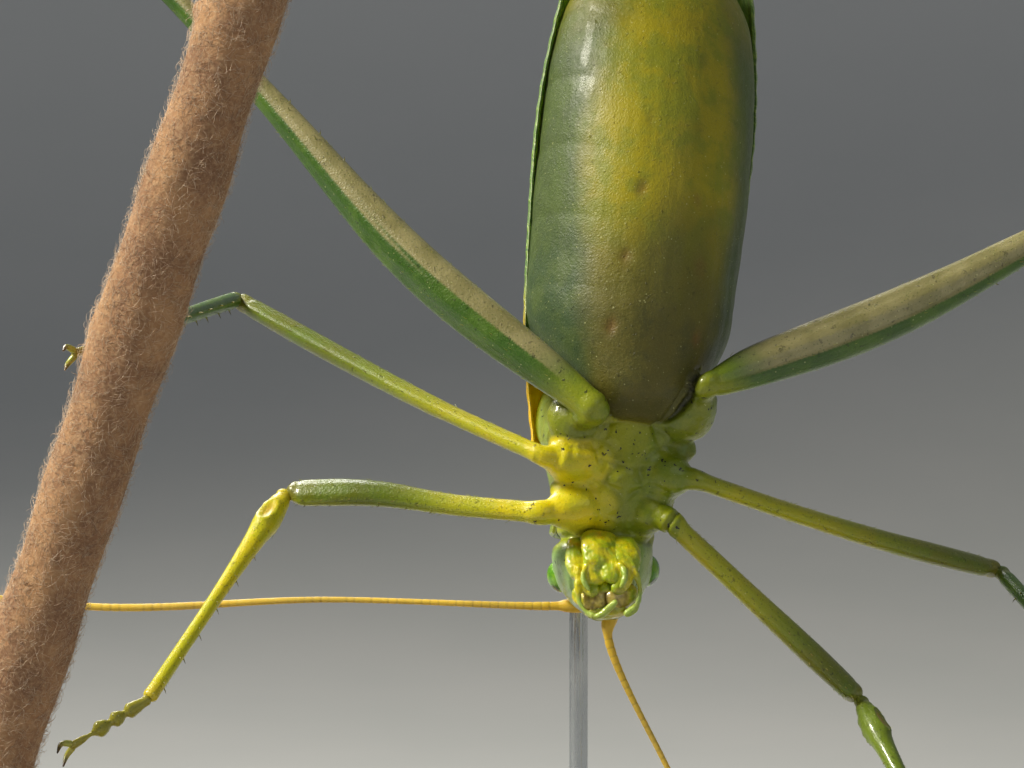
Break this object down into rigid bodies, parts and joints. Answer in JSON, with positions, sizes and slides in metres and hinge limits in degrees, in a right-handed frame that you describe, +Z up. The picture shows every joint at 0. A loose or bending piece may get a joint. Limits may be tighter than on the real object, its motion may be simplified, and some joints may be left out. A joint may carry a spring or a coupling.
{
  "type": "bush katydid (long-horned grasshopper) on a stem, still display model",
  "caption": "Life-size still model of a green long-horned grasshopper hanging head down by its left legs from a cut woolly stem, held on a flat wooden base by steel rods.",
  "frame": {"origin": "centre of the underside of the stand's base", "axes": "+Z up, -Y towards the side from which the animal's belly is seen, +X to the animal's right"},
  "size_m": [0.092, 0.046, 0.1054],
  "materials": {
    "body": "smooth waxy skin, lime yellow to olive",
    "leg": "smooth waxy skin with a pale upper stripe",
    "wing": "veined green wing, half gloss",
    "feeler": "satin orange yellow",
    "eye": "wet gloss",
    "stem": "bark under a coat of pale wool",
    "wood": "oiled satin",
    "steel": "polished rod"
  },
  "bodies": {
    "root": {"tegmen_left": "wing", "tegmen_right": "wing", "hindwing_left": "wing", "hindwing_right": "wing", "head": "body", "pronotum": "body", "prothorax": "body", "thorax": "body", "abdomen": "body", "ovipositor": "body", "cercus_left": "body", "cercus_right": "body", "labrum": "body", "labium": "body", "maxilla_left": "body", "maxilla_right": "body", "mandible_left": "body", "mandible_right": "body", "eye_left": "eye", "eye_right": "eye", "antenna_left": "feeler", "antenna_right": "feeler", "fore_left_coxa": "leg", "fore_left_femur": "leg", "fore_left_tibia": "leg", "fore_left_tarsus": "leg", "fore_right_coxa": "leg", "fore_right_femur": "leg", "fore_right_tibia": "leg", "fore_right_tarsus": "leg", "middle_left_coxa": "leg", "middle_left_femur": "leg", "middle_left_tibia": "leg", "middle_left_tarsus": "leg", "middle_right_coxa": "leg", "middle_right_femur": "leg", "middle_right_tibia": "leg", "middle_right_tarsus": "leg", "hind_left_coxa": "leg", "hind_left_femur": "leg", "hind_left_tibia": "leg", "hind_left_tarsus": "leg", "hind_right_coxa": "leg", "hind_right_femur": "leg", "hind_right_tibia": "leg", "hind_right_tarsus": "leg", "perch_stem": "stem", "stand_base": "wood", "stand_rod_stem": "steel", "stand_rod_body": "steel"}
  },
  "joints": []
}
